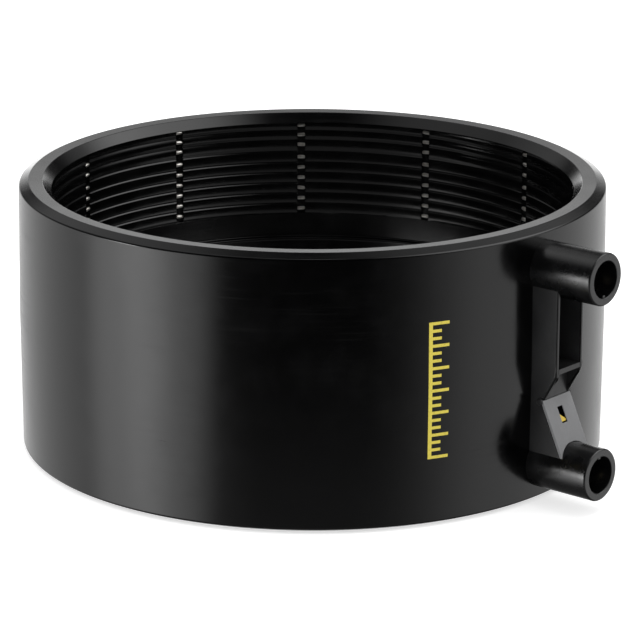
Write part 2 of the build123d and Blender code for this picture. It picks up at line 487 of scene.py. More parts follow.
@dataclass
class Draft:
    """Points and faces of one piece, gathered in millimetres before they become a mesh."""

    points: list[np.ndarray] = field(default_factory=list)
    faces: list[tuple[int, ...]] = field(default_factory=list)
    count: int = 0

    def add(self, points: np.ndarray, faces: Iterable[Sequence[int]]) -> None:
        """Adds points and the faces between them.

        Args:
            points: array of shape (n, 3).
            faces: faces as indices into points.
        """
        base = self.count
        self.points.append(np.asarray(points, float))
        self.faces += [tuple(int(i) + base for i in face) for face in faces]
        self.count += len(points)

    def grid(
        self, rows: np.ndarray, closed_rows: bool = False, closed_columns: bool = False
    ) -> None:
        """Adds a grid of quads.

        Args:
            rows: array of shape (n, m, 3).
            closed_rows: join the last row to the first.
            closed_columns: join the last column to the first.
        """
        n, m = rows.shape[:2]
        i, j = np.meshgrid(
            np.arange(n if closed_rows else n - 1),
            np.arange(m if closed_columns else m - 1),
            indexing="ij",
        )
        down, right = (i + 1) % n, (j + 1) % m
        quads = np.stack([i * m + j, i * m + right, down * m + right, down * m + j], -1)
        self.add(rows.reshape(-1, 3), quads.reshape(-1, 4))

    def cap(self, ring: np.ndarray) -> None:
        """Adds one face over a ring of points.

        Args:
            ring: array of shape (n, 3).
        """
        self.add(ring, [range(len(ring))])

    def tube(self, rows: np.ndarray) -> None:
        """Adds a tube with a face over each end.

        Args:
            rows: array of shape (n, m, 3), each row a ring round the tube.
        """
        self.grid(rows, closed_columns=True)
        self.cap(rows[0])
        self.cap(rows[-1])

    def slab(
        self,
        outline: np.ndarray,
        near: Callable[[np.ndarray], np.ndarray],
        far: Callable[[np.ndarray], np.ndarray],
    ) -> None:
        """Adds a flat piece with straight sides.

        Args:
            outline: outline of shape (n, 2).
            near: places outline points on the near face.
            far: places outline points on the far face.
        """
        size = len(outline)
        faces = [tuple(range(size)), tuple(size + i for i in reversed(range(size)))]
        faces += [((i + 1) % size, i, i + size, (i + 1) % size + size) for i in range(size)]
        self.add(np.concatenate([near(outline), far(outline)]), faces)

    def build(self, name: str) -> bpy.types.Object:
        """Makes the object, in metres.

        Args:
            name: name of the piece.

        Returns:
            The object, linked to the scene.
        """
        mesh = bpy.data.meshes.new(name)
        mesh.from_pydata((np.concatenate(self.points) * MM).tolist(), [], self.faces)
        mesh.validate()
        piece = bpy.data.objects.new(name, mesh)
        bpy.context.scene.collection.objects.link(piece)
        return piece


def rounded(corners: Sequence[tuple[float, float, float]], closed: bool = True) -> np.ndarray:
    """Rounds the corners of a flat outline.

    Args:
        corners: points as x, y and the radius at the corner.
        closed: whether the outline comes back to its start.

    Returns:
        The outline's points, with arcs in place of the corners.
    """
    count = len(corners)
    points: list[np.ndarray] = []
    for index, (x, y, radius) in enumerate(corners):
        here = np.array([x, y])
        if radius <= 0 or (not closed and index in (0, count - 1)):
            points.append(here)
            continue
        before = np.array(corners[index - 1][:2]) - here
        after = np.array(corners[(index + 1) % count][:2]) - here
        before, after = before / np.linalg.norm(before), after / np.linalg.norm(after)
        half = math.acos(float(np.clip(before @ after, -1, 1))) / 2
        middle = (before + after) / np.linalg.norm(before + after)
        centre = here + middle * radius / math.sin(half)
        first = here + before * radius / math.tan(half) - centre
        turn = math.pi - 2 * half
        sense = 1.0 if before[0] * after[1] - before[1] * after[0] < 0 else -1.0
        steps = max(2, math.ceil(math.degrees(turn) / ARC_STEP))
        for step in range(steps + 1):
            angle = sense * turn * step / steps
            cos, sin = math.cos(angle), math.sin(angle)
            arm = (first[0] * cos - first[1] * sin, first[0] * sin + first[1] * cos)
            points.append(centre + np.array(arm))
    return np.array(points)


def lathe(
    profile: np.ndarray, segments: int, axis: str = "Z", centre: Point2 = (0.0, 0.0)
) -> np.ndarray:
    """Turns a profile round an axis.

    Args:
        profile: points as radius and distance along the axis.
        segments: steps round the axis.
        axis: Z for the bore, or X for a terminal.
        centre: the axis's place across it: x and y for Z, or y and z for X.

    Returns:
        Rows of points, one row for each profile point.
    """
    angles = np.linspace(0, 2 * np.pi, segments, endpoint=False)
    radius, along = profile[:, :1], profile[:, 1:]
    first = centre[0] + radius * np.cos(angles)
    second = centre[1] + radius * np.sin(angles)
    along = np.broadcast_to(along, first.shape)
    return np.stack([first, second, along] if axis == "Z" else [along, first, second], -1)


def finish_piece(
    draft: Draft,
    name: str,
    finish: Finish,
    nodes: Sequence[str] = (),
    bevel: float = 0.0,
    weight: Callable[[Vector, Vector], float] | None = None,
    edge_shade_finish: Finish | None = None,
) -> None:
    """Makes a piece from its draft, smooths it, gives it its finish and ties it to the frame.

    Args:
        draft: points and faces of the piece.
        name: name of the piece.
        finish: its finish.
        nodes: solids that it stands for.
        bevel: radius of its edges, in millimetres, or 0.
        weight: share of the bevel for an edge, from its two ends in millimetres.
        edge_shade_finish: darker finish painted on the rounded edges as painted shade, if they get
            one.
    """
    piece = draft.build(name)
    mesh = piece.data
    work = bmesh.new()
    work.from_mesh(mesh)
    bmesh.ops.remove_doubles(work, verts=work.verts, dist=WELD)
    bmesh.ops.recalc_face_normals(work, faces=work.faces)
    if weight is not None:
        layer = work.edges.layers.float.new("bevel_weight_edge")
        for edge in work.edges:
            edge[layer] = weight(edge.verts[0].co / MM, edge.verts[1].co / MM)
    work.to_mesh(mesh)
    work.free()
    mesh.materials.append(finish.material())
    if edge_shade_finish is not None:
        mesh.materials.append(edge_shade_finish.material())
    if bevel:
        rounding = piece.modifiers.new("rounding", "BEVEL")
        rounding.width = bevel * MM
        rounding.segments = BEVEL_SEGMENTS
        rounding.limit_method = "WEIGHT" if weight is not None else "ANGLE"
        rounding.angle_limit = math.radians(BEVEL_ANGLE)
        rounding.use_clamp_overlap = weight is None
        rounding.material = 0 if edge_shade_finish is None else 1
        seen = piece.evaluated_get(bpy.context.evaluated_depsgraph_get())
        piece.modifiers.clear()
        piece.data = bpy.data.meshes.new_from_object(seen)
        mesh = piece.data
    mesh.shade_smooth()
    mesh.set_sharp_from_angle(angle=math.radians(SHARP_ANGLE))
    normals = piece.modifiers.new("normals", "WEIGHTED_NORMAL")
    normals.keep_sharp = True
    if nodes:
        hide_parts(*nodes)
    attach(piece, ROOT)
    log.info("%s: %d faces", piece.name, len(mesh.polygons))


# ---------------------------------------------------------------------------- sub-assemblies


@dataclass
class Sleeve:
    """The moulded sleeve: outside wall, end faces, lead-ins and the centre stop."""

    height: float = 106.0
    body_radius: float = 114.0
    wall_draft: float = 0.55
    bore_radius: float = 101.0
    mouth_radius: float = 104.3
    end_face_radius: float = 109.7
    end_chamfer: float = 1.7
    end_blend: float = 1.0
    face_edge: float = 0.8
    face_dish: float = 0.22
    mouth_edge: float = 0.5
    stop_radius: float = 98.6
    stop_edge: float = 0.3
    stop_tip: float = 1.2
    stop_root: float = 1.8
    stop_fillet: float = 0.25
    band_edge: float = 0.12
    recess_radius: float = 103.05
    segments: int = 540

    @property
    def middle(self) -> float:
        """Height of the centre stop."""
        return self.height / 2

    def outside(self, z: np.ndarray | float) -> np.ndarray | float:
        """Radius of the outside wall at a height above the lower end."""
        return self.body_radius - math.tan(math.radians(self.wall_draft)) * np.abs(z - self.middle)

    def wall_reach(self, y: np.ndarray | float, z: np.ndarray | float) -> np.ndarray | float:
        """Reach of the outside wall along X at a point across the terminals."""
        return np.sqrt(np.square(self.outside(z)) - np.square(y))

    def half_profile(self, band_top: float, band_bottom: float) -> np.ndarray:
        """Upper half of the section, from the outside wall round to the stop.

        Args:
            band_top: top of the winding's recess, above mid-height.
            band_bottom: foot of the recess, above mid-height.

        Returns:
            Points as radius and height above mid-height.
        """
        half = self.middle
        shoulder = float(self.outside(self.height - self.end_chamfer))
        return rounded(
            [
                (self.body_radius, 0.0, 0.0),
                (shoulder, half - self.end_chamfer, self.end_blend),
                (self.end_face_radius, half, self.face_edge),
                (self.mouth_radius, half - self.face_dish, self.mouth_edge),
                (self.bore_radius, band_top, 0.0),
                (self.recess_radius, band_top, 0.0),
                (self.recess_radius, band_bottom, 0.0),
                (self.bore_radius, band_bottom, self.band_edge),
                (self.bore_radius, self.stop_root / 2, self.stop_fillet),
                (self.stop_radius, self.stop_tip / 2, self.stop_edge),
                (self.stop_radius, 0.0, 0.0),
            ],
            closed=False,
        )

    def build(self, winding: Winding) -> None:
        """Builds the sleeve, which stands for the whole moulded body.

        Args:
            winding: the winding that lies in its recess.
        """
        half = self.half_profile(winding.band_top, winding.band_bottom)
        lower = half[1:-1][::-1] * np.array([1.0, -1.0])
        profile = np.concatenate([half, lower]) + np.array([0.0, self.middle])
        draft = Draft()
        draft.grid(lathe(profile, self.segments), closed_rows=True, closed_columns=True)
        finish_piece(draft, "sleeve_wall", SLEEVE_BLACK, ["coupler_body"])


@dataclass
class Winding:
    """Coated heating wire in two bands, slotted to its bare wire, with the link between them."""

    sleeve: Sleeve
    band_top: float = 49.2
    radius: float = 103.0
    wires: tuple[float, ...] = (48.2, 44.1, 40.0, 34.65, 30.25, 25.85, 21.45, 17.05, 12.65)
    outer_turns: int = 3
    pitch: float = 4.4
    groove_depth: float = 0.45
    groove_half: float = 0.44
    groove_foot: float = 0.1
    lip_width: float = 0.16
    lip_drop: float = 0.05
    outer_crown: float = 0.30
    crown: float = 0.12
    level_angle: float = 150.5
    wander: tuple[Point2, ...] = ((3.0, 0.06), (7.0, 0.04))
    wander_rate: float = 0.31
    slot_count: int = 12
    slot_width: float = 3.0
    slot_depth: float = 1.25
    first_slot: float = 13.0
    link_width: float = 3.4
    link_angle: float = 183.0
    bare_radius: float = 0.78
    bare_inset: float = 0.95
    bare_sides: int = 14
    bare_waist: float = 0.32
    bare_margin: float = 0.6
    bare_skew: float = 0.10
    land_step: float = 1.2

    @property
    def band_bottom(self) -> float:
        """Foot of a band, above mid-height."""
        return self.wires[-1] - (self.wires[-2] - self.wires[-1]) / 2

    def level(self, turn: np.ndarray | float) -> np.ndarray | float:
        """Height above mid-height of a place along the winding, counted in turns from its top."""
        first, last = self.wires[0] - self.wires[1], self.wires[-2] - self.wires[-1]
        above = [self.wires[0] + 2 * first, self.wires[0] + first]
        below = [self.wires[-1] - last, self.wires[-1] - 2 * last]
        heights = [*above, *self.wires, *below]
        return np.interp(turn, np.arange(-2, len(heights) - 2), heights)

    def climb(self, angle: np.ndarray | float, side: Side) -> np.ndarray | float:
        """Turns that the winding has gone from its even level at an angle in radians."""
        return -side.value * (np.degrees(angle) - self.level_angle) / 360.0

    def turn_section(self, index: int) -> list[Point2]:
        """Section of one coated turn, from the groove above it to the groove below it.

        Args:
            index: number of the turn.

        Returns:
            Points as place in turns and depth behind the bore.
        """
        crown = self.outer_crown if index < self.outer_turns else self.crown
        foot, lip = self.groove_foot / self.pitch, self.groove_half / self.pitch
        edge = lip + self.lip_width / self.pitch
        half = [(0.5 - foot, self.groove_depth), (0.5 - lip, crown + self.lip_drop)]
        half += [(0.5 - edge, crown)]
        half += [(share * (0.5 - edge), crown * share**2) for share in (0.8, 0.45)]
        upper = [(index - place, depth) for place, depth in half]
        return upper + [(index, 0.0)] + [(index + place, depth) for place, depth in reversed(half)]

    def slot_section(self) -> list[Point2]:
        """One half of a slot's section, from its middle out: offset and depth behind the bore."""
        half = self.slot_width / 2
        return [
            (0.0, self.slot_depth),
            (half - 0.45, self.slot_depth),
            (half - 0.15, self.slot_depth - 0.12),
            (half - 0.03, self.slot_depth - 0.40),
            (half + 0.02, 0.30),
            (half + 0.10, 0.10),
            (half + 0.24, 0.02),
            (half + 0.45, 0.0),
        ]

    def stations(self) -> tuple[np.ndarray, np.ndarray]:
        """Places round the bore for the mesh.

        Returns:
            Angles in radians, and the depth of the slots at each.
        """
        angles: list[float] = []
        depths: list[float] = []
        step = 360.0 / self.slot_count
        to_degrees = math.degrees(1.0 / self.sleeve.bore_radius)
        section = self.slot_section()
        reach = section[-1][0] * to_degrees
        between = math.ceil((step - 2 * reach) / self.land_step)
        for slot in range(self.slot_count):
            centre = self.first_slot + slot * step
            for offset, depth in [(-o, d) for o, d in reversed(section[1:])] + section:
                angles.append(centre + offset * to_degrees)
                depths.append(depth)
            for land in range(1, between):
                angles.append(centre + reach + (step - 2 * reach) * land / between)
                depths.append(0.0)
        return np.radians(angles), np.array(depths)

    def band(self, side: Side) -> None:
        """Builds the coated turns of one socket.

        Args:
            side: socket that the band heats.
        """
        turns = range(-1, len(self.wires) + 1)
        section = np.array([point for index in turns for point in self.turn_section(index)])
        angles, slots = self.stations()
        places = section[:, :1] + self.climb(angles, side)
        heights = np.clip(self.level(places), self.band_bottom, self.band_top)
        inside = (heights > self.band_bottom) & (heights < self.band_top)
        phase = 0.7 if side is Side.UPPER else 2.1
        drift = sum(
            size * np.sin(waves * angles + order * phase)
            for order, (waves, size) in enumerate(self.wander, 1)
        )
        margin = np.minimum(self.band_top - heights, heights - self.band_bottom)
        swing = np.sin(self.wander_rate * heights + phase)
        heights = heights + swing * drift * np.clip(margin / 2, 0, 1)
        depth = np.where(inside, section[:, 1:], 0.0)
        radius = self.sleeve.bore_radius + np.maximum(depth, slots)
        z = self.sleeve.middle + side.value * heights
        face = np.stack([radius * np.cos(angles), radius * np.sin(angles), z], -1)
        draft = Draft()
        draft.grid(face)
        # The turns climb, so the ends of the mesh meet one turn apart.
        shift = side.value * len(self.turn_section(0))
        start, end = face[max(0, -shift) :, 0], face[max(0, shift) :, -1]
        count = min(len(start), len(end))
        draft.grid(np.stack([end[:count], start[:count]], 1))
        ring = np.stack([np.cos(angles), np.sin(angles)], -1)
        back = []
        for level in (self.band_bottom, self.band_top):
            height = np.full((len(angles), 1), self.sleeve.middle + side.value * level)
            back.append(np.concatenate([self.radius * ring, height], 1))
        draft.grid(np.array([face[-1], *back, face[0]]), closed_columns=True)
        nodes = ["heating_winding"] if side is Side.UPPER else []
        finish_piece(draft, f"winding_band_{side.name.lower()}", COAT_BLACK, nodes)

    def link(self) -> None:
        """Builds the coated link that crosses the centre between the bands."""
        half = math.degrees(self.link_width / 2 / self.sleeve.bore_radius)
        angles = np.radians(np.linspace(self.link_angle - half, self.link_angle + half, 9))
        lift = 0.02 + 0.35 * np.linspace(-1, 1, 9) ** 6
        inner = self.sleeve.bore_radius + lift
        levels = self.sleeve.middle + np.array([-1.0, 1.0]) * (self.band_bottom + 0.3)
        ring = [(r * math.cos(a), r * math.sin(a)) for r, a in zip(inner, angles)]
        ring += [(self.radius * math.cos(a), self.radius * math.sin(a)) for a in reversed(angles)]
        draft = Draft()
        draft.tube(np.array([[(x, y, z) for x, y in ring] for z in levels]))
        finish_piece(draft, "winding_link", COAT_BLACK)

    def bare_wire(self) -> None:
        """Builds the bare wire where it crosses the slots."""
        draft = Draft()
        centre = self.sleeve.bore_radius + self.bare_inset
        turn = np.linspace(0, 2 * np.pi, self.bare_sides, endpoint=False)
        reach = (self.slot_width / 2 + 0.2) / centre
        low, high = self.band_bottom + self.bare_margin, self.band_top - self.bare_margin
        for slot, side in itertools.product(range(self.slot_count), Side):
            middle = math.radians(self.first_slot + slot * 360.0 / self.slot_count)
            climb = float(self.climb(middle, side))
            for index in range(-1, len(self.wires) + 1):
                height = float(self.level(index + climb))
                if not low < height < high:
                    continue
                skew = self.bare_skew * math.sin(2.3 * slot + 1.7 * index + side.value)
                rows = []
                for step in np.linspace(-1.0, 1.0, 9):
                    thick = self.bare_radius * (1.0 - self.bare_waist * step**4)
                    radius = centre + thick * np.cos(turn)
                    level = self.sleeve.middle + side.value * (height + skew * step)
                    angle = middle + step * reach
                    x, y = radius * math.cos(angle), radius * math.sin(angle)
                    rows.append(np.stack([x, y, level + thick * np.sin(turn)], -1))
                draft.tube(np.array(rows))
        finish_piece(draft, "winding_bare_wire", HEATING_WIRE)

    def build(self) -> None:
        """Builds both bands, the link and the bare wire."""
        for side in Side:
            self.band(side)
        self.link()
        self.bare_wire()


@dataclass
class Shroud:
    """One terminal shroud: a thick tube with a keyed socket, rooted in the sleeve's wall."""

    sleeve: Sleeve
    side: Side
    height: float
    outer_radius: float = 10.0
    inner_radius: float = 7.0
    mouth: float = 140.3
    floor: float = 117.5
    rim_edge: float = 0.7
    inner_edge: float = 0.35
    key_width: float = 1.4
    key_height: float = 0.9
    key_setback: float = 0.6
    seat_radius: float = 4.55
    seat_depth: float = 0.6
    root: float = 0.8
    segments: int = 144

    def turns(self) -> tuple[np.ndarray, np.ndarray]:
        """Places round the shroud's axis.

        Returns:
            Angles in radians from +Y, and the key's height at each.
        """
        middle = -math.pi / 2 * self.side.value
        half = math.asin(self.key_width / 2 / self.inner_radius)
        even = np.linspace(-math.pi, math.pi, self.segments, endpoint=False)
        plain = [offset for offset in even if abs(offset) > 1.25 * half]
        flank = [share * half for share in (0.35, 0.7, 0.96, 1.0, 1.12)]
        offsets = np.array(sorted([*plain, *flank, *(-offset for offset in flank), 0.0]))
        inside = np.abs(offsets) < 0.98 * half
        flat_top = (self.inner_radius - self.key_height) / np.cos(offsets)
        return middle + offsets, np.where(inside, self.inner_radius - flat_top, 0.0)

    def ring(
        self, angles: np.ndarray, radius: np.ndarray | float, reach: np.ndarray | float
    ) -> np.ndarray:
        """One ring of points round the shroud's axis, at a radius and a reach along X."""
        y, z = radius * np.cos(angles), self.height + radius * np.sin(angles)
        return np.stack([np.broadcast_to(reach, y.shape), y, z], -1)

    def build(self) -> None:
        """Builds the shroud, from its root over the mouth to its floor."""
        angles, key = self.turns()
        outer, keyed = self.outer_radius, self.inner_radius - key
        wall = self.sleeve.wall_reach(outer * np.cos(angles), self.height + outer * np.sin(angles))
        start, stop = float(wall.max()) + 0.4, self.mouth - self.rim_edge
        key_end = self.mouth - self.key_setback
        sections = [(outer, wall - self.root), (outer, wall)]
        sections += [(outer, reach) for reach in np.linspace(start, stop, 6)]
        for turn in np.linspace(0, math.pi / 2, 7)[1:]:
            radius = outer - self.rim_edge * (1 - math.cos(turn))
            sections.append((radius, stop + self.rim_edge * math.sin(turn)))
        for turn in np.linspace(0, math.pi / 2, 5):
            radius = self.inner_radius + self.inner_edge * (1 - math.sin(turn))
            sections.append((radius, self.mouth - self.inner_edge * (1 - math.cos(turn))))
        sections += [
            (self.inner_radius, key_end),
            (keyed, key_end - 0.04),
            (keyed, self.floor + 0.5),
            (keyed - 0.15, self.floor + 0.15),
            (keyed - 0.5, self.floor),
            (self.seat_radius, self.floor),
            (self.seat_radius, self.floor - self.seat_depth),
        ]
        draft = Draft()
        draft.tube(np.array([self.ring(angles, radius, reach) for radius, reach in sections]))
        finish_piece(draft, f"{self.side.name.lower()}_shroud", SHROUD_BLACK)


@dataclass
class Bracket:
    """Side plates between the shrouds, with the cross bar, the ledge and the indicator housing."""

    sleeve: Sleeve
    width: float = 16.4
    plate: float = 1.6
    root: float = 108.5
    reach: float = 125.0
    plate_end: float = 33.5
    bar: tuple[float, float] = (-0.5, 1.5)
    knee: float = -1.2
    ledge: float = 119.2
    cover_slope: float = 24.85
    cover_top: Point2 = (119.3, -11.2)
    cover_thickness: float = 1.2
    cover_width: float = 16.8
    cover_length: float = 23.6
    end_wall: float = 1.8
    catch: Point2 = (1.3, 1.1)
    inner_edge: float = 0.3
    catch_edge: float = 0.4
    bar_edge: float = 0.28
    plate_edge: float = 0.8

    def along_cover(self, distance: float, depth: float = 0.0) -> Point2:
        """Point in the middle section, a distance down the cover and a depth below its face."""
        slope = math.radians(self.cover_slope)
        out, down = math.sin(slope), math.cos(slope)
        return (
            self.cover_top[0] + distance * out - depth * down,
            self.cover_top[1] - distance * down - depth * out,
        )

    def upright(self, y: float) -> Callable[[np.ndarray], np.ndarray]:
        """Gives the placing of outline points in the upright section at a y."""
        middle = self.sleeve.middle
        return lambda flat: np.stack([flat[:, 0], np.full(len(flat), y), flat[:, 1] + middle], -1)

    def plate_outline(self) -> np.ndarray:
        """Outline of a side plate, as reach and height above mid-height."""
        low = self.along_cover(0.0, self.cover_thickness)
        slope = math.tan(math.radians(self.cover_slope))
        foot = (low[0] + (self.plate_end + low[1]) * slope, -self.plate_end)
        return rounded(
            [
                (self.root, self.plate_end, 0.0),
                (self.reach, self.plate_end, 0.0),
                (self.reach, self.knee, 2.0),
                (*self.along_cover(0.0, 0.0), 0.0),
                (*low, 0.0),
                (*foot, 0.0),
                (self.root, -self.plate_end, 0.0),
            ]
        )

    def edge_share(self, start: Vector, end: Vector) -> float:
        """Share of the bevel that an edge takes: full on the plates' outer front edges."""
        ahead = min(start.x, end.x) > self.sleeve.body_radius + 2.0
        outer = min(abs(start.y), abs(end.y)) > self.width / 2 - 0.05
        along = abs(start.y - end.y) < 0.05
        if min(start.x, end.x) < self.root + 1.0:
            return 0.0
        return 1.0 if ahead and outer and along else self.inner_edge

    def plates(self) -> None:
        """Builds the two side plates with their catches."""
        # The plates' rounded edges take the near-black wire-coat finish: painted shade, a dark line
        # along each edge.
        edges = {"weight": self.edge_share, "edge_shade_finish": COAT_BLACK}
        radius, proud = self.catch
        x, z = self.along_cover(0.0, radius)
        turn = np.linspace(0, 2 * np.pi, 20, endpoint=False)
        knob = np.stack([x + radius * np.cos(turn), z + radius * np.sin(turn)], -1)
        for name, sign in (("near", -1), ("far", 1)):
            outer, inner = sign * self.width / 2, sign * (self.width / 2 - self.plate)
            plate, catch = Draft(), Draft()
            plate.slab(self.plate_outline(), self.upright(outer), self.upright(inner))
            plate_name = f"bracket_plate_{name}"
            finish_piece(plate, plate_name, PLATE_BLACK_PAINTED_LIGHT, bevel=self.plate_edge, **edges)
            catch.slab(knob, self.upright(outer - sign * 0.3), self.upright(outer + sign * proud))
            finish_piece(catch, f"cover_catch_{name}", PLATE_BLACK_PAINTED_LIGHT, bevel=self.catch_edge)

    def bridge(self) -> None:
        """Builds the cross bar, the ledge under it and the housing's end wall."""
        inside = self.along_cover(self.end_wall, self.cover_thickness)
        half = self.width / 2 - self.plate + 0.05
        outline = np.array(
            [
                (self.root, self.bar[1]),
                (self.reach, self.bar[1]),
                (self.reach, self.bar[0]),
                (self.ledge, self.bar[0]),
                (self.ledge, self.cover_top[1]),
                self.along_cover(0.0, self.cover_thickness),
                inside,
                (self.root, inside[1]),
            ]
        )
        draft = Draft()
        draft.slab(outline, self.upright(half), self.upright(-half))
        finish_piece(draft, "bracket_cross_bar", PLATE_BLACK_PAINTED_LIGHT, bevel=self.bar_edge)

    def build(self) -> None:
        """Builds the plates and what lies between them."""
        self.plates()
        self.bridge()


@dataclass
class ContactPin:
    """One contact pin: flange seated in the shroud's floor, round pin and chamfered tip."""

    side: Side
    height: float
    floor: float = 117.5
    tip: float = 132.5
    radius: float = 2.0
    chamfer: float = 0.6
    flange: Point2 = (4.5, 2.4)
    tail: Point2 = (1.6, 103.1)

    def build(self) -> None:
        """Builds the pin, which stands for its solid."""
        back = self.floor - self.flange[1]
        profile = rounded(
            [
                (0.0, self.tail[1], 0.0),
                (self.tail[0], self.tail[1], 0.0),
                (self.tail[0], back, 0.0),
                (self.flange[0], back, 0.0),
                (self.flange[0], self.floor, 0.15),
                (self.radius, self.floor, 0.25),
                (self.radius, self.tip - self.chamfer, 0.3),
                (self.radius - self.chamfer, self.tip, 0.15),
                (0.0, self.tip, 0.0),
            ],
            closed=False,
        )
        draft = Draft()
        draft.grid(lathe(profile, 72, "X", (0.0, self.height)), closed_columns=True)
        name = self.side.name.lower()
        finish_piece(draft, f"{name}_pin_turned", PLATED_PIN, [f"{name}_contact_pin"])


@dataclass
class Indicator:
    """Slanted cover with its window, over the yellow flag."""

    bracket: Bracket
    shroud_height: float
    shroud_radius: float = 10.15
    window: tuple[float, float, float] = (4.0, 10.4, 3.0)
    tip: tuple[float, float, float, float] = (1.4, 9.8, 0.8, 3.2)
    tip_depth: float = 0.5
    carrier: Point2 = (5.0, 6.0)
    carrier_depth: Point2 = (1.5, 3.1)
    carrier_edge: float = 0.2
    stem: Point2 = (1.5, 107.2)
    # Depths and spread of the near-black sheet that paints shade on the window's walls.
    shade_sheet_depth: Point2 = (0.25, 1.3)
    shade_sheet_grow: Point2 = (0.05, -0.06)
    edge: float = 0.22

    def notch(self, y: float, depth: float) -> float:
        """Distance down the cover at which the lower shroud cuts it, at a y and a depth."""
        rise = math.sqrt(max(self.shroud_radius**2 - y**2, 0.0))
        level = self.shroud_height - self.bracket.sleeve.middle + rise
        slope = math.radians(self.bracket.cover_slope)
        top = self.bracket.cover_top[1] - depth * math.sin(slope)
        return min((top - level) / math.cos(slope), self.bracket.cover_length)

    def placed(self, depth: float) -> Callable[[np.ndarray], np.ndarray]:
        """Gives the placing of outline points, as y and distance down, at a depth in the cover.

        Points that lie past the window are on the lower end, which the shroud cuts.
        """

        def place(flat: np.ndarray) -> np.ndarray:
            """Places y and distance down the cover in the frame."""
            points = []
            for y, distance in flat:
                if distance > self.window[1] + 1.0:
                    distance = self.notch(y, depth)
                x, z = self.bracket.along_cover(distance, depth)
                points.append((x, y, z + self.bracket.sleeve.middle))
            return np.array(points)

        return place

    def cover(self) -> None:
        """Builds the cover with its window, which stands for its solid."""
        half = self.bracket.cover_width / 2
        start, end, width = self.window
        side = np.linspace(width / 2, half, 11)
        across = np.concatenate([-side[::-1], side])
        left, right, last = len(side) - 1, len(side), len(across) - 1
        down = (0.0, start, end, self.bracket.cover_length)
        flat = np.array([(y, distance) for distance in down for y in across])
        base, row = len(flat), len(across)
        cells = itertools.product(range(3), range(last))
        corners = [i * row + j for i, j in cells if not (i == 1 and j == left)]
        faces = [(k, k + 1, k + 1 + row, k + row) for k in corners]
        faces += [tuple(base + k for k in reversed(face)) for face in faces]
        foot = range(4 * row - 1, 3 * row - 1, -1)
        rim = [*range(row), 2 * row - 1, 3 * row - 1, *foot, 2 * row, row]
        hole = [row + left, row + right, 2 * row + right, 2 * row + left]
        for loop in (rim, hole):
            faces += [(a, b, b + base, a + base) for a, b in zip(loop, loop[1:] + loop[:1])]
        near, far = self.placed(0.0), self.placed(self.bracket.cover_thickness - 0.02)
        draft = Draft()
        draft.add(np.concatenate([near(flat), far(flat)]), faces)
        finish_piece(draft, "window_cover", COVER_GREY_PAINTED_SHEEN, ["indicator_cover"], bevel=self.edge)

    def painted_window_shade(self) -> None:
        """Builds a thin near-black sheet round the window's walls, as painted shade inside the
        window.
        """
        start, end, width = self.window
        (near, far), (out, into) = self.shade_sheet_depth, self.shade_sheet_grow
        rows = []
        for grow, depth in ((out, near), (out, far), (into, far), (into, near)):
            half, top, foot = width / 2 + grow, start - grow, end + grow
            loop = np.array([(-half, top), (half, top), (half, foot), (-half, foot)])
            rows.append(self.placed(depth)(loop))
        draft = Draft()
        draft.grid(np.array(rows), closed_rows=True, closed_columns=True)
        finish_piece(draft, "window_liner", INSIDE_BLACK_AND_PAINTED_SHADE)

    def flag(self) -> None:
        """Builds the flag: its yellow tip and stem, and the dark carrier that holds them."""
        half, foot, low, high = self.tip
        near, far = self.carrier_depth
        tip = np.array([(-half, foot), (half, foot), (half, foot - low), (-half, foot - high)])
        draft = Draft()
        draft.slab(tip, self.placed(self.tip_depth), self.placed(near + 0.1))
        middle = (self.window[0] + self.window[1]) / 2
        start, level = self.bracket.along_cover(middle, (near + far) / 2)
        radius, foot = self.stem
        stem = np.array([(0.0, start), (radius, start), (radius, foot), (0.0, foot)])
        axis = (0.0, level + self.bracket.sleeve.middle)
        draft.grid(lathe(stem, 24, "X", axis), closed_columns=True)
        finish_piece(draft, "flag_tip", FLAG_YELLOW, ["indicator_flag"])
        side, reach = self.carrier[0] / 2, self.carrier[1] / 2
        corners = ((-side, -reach), (side, -reach), (side, reach), (-side, reach))
        block = np.array([(y, middle + distance) for y, distance in corners])
        carrier = Draft()
        carrier.slab(block, self.placed(near), self.placed(far))
        finish_piece(carrier, "flag_carrier", INSIDE_BLACK_AND_PAINTED_SHADE, bevel=self.carrier_edge)

    def build(self) -> None:
        """Builds the cover, the painted shade in its window and the flag."""
        self.cover()
        self.painted_window_shade()
        self.flag()


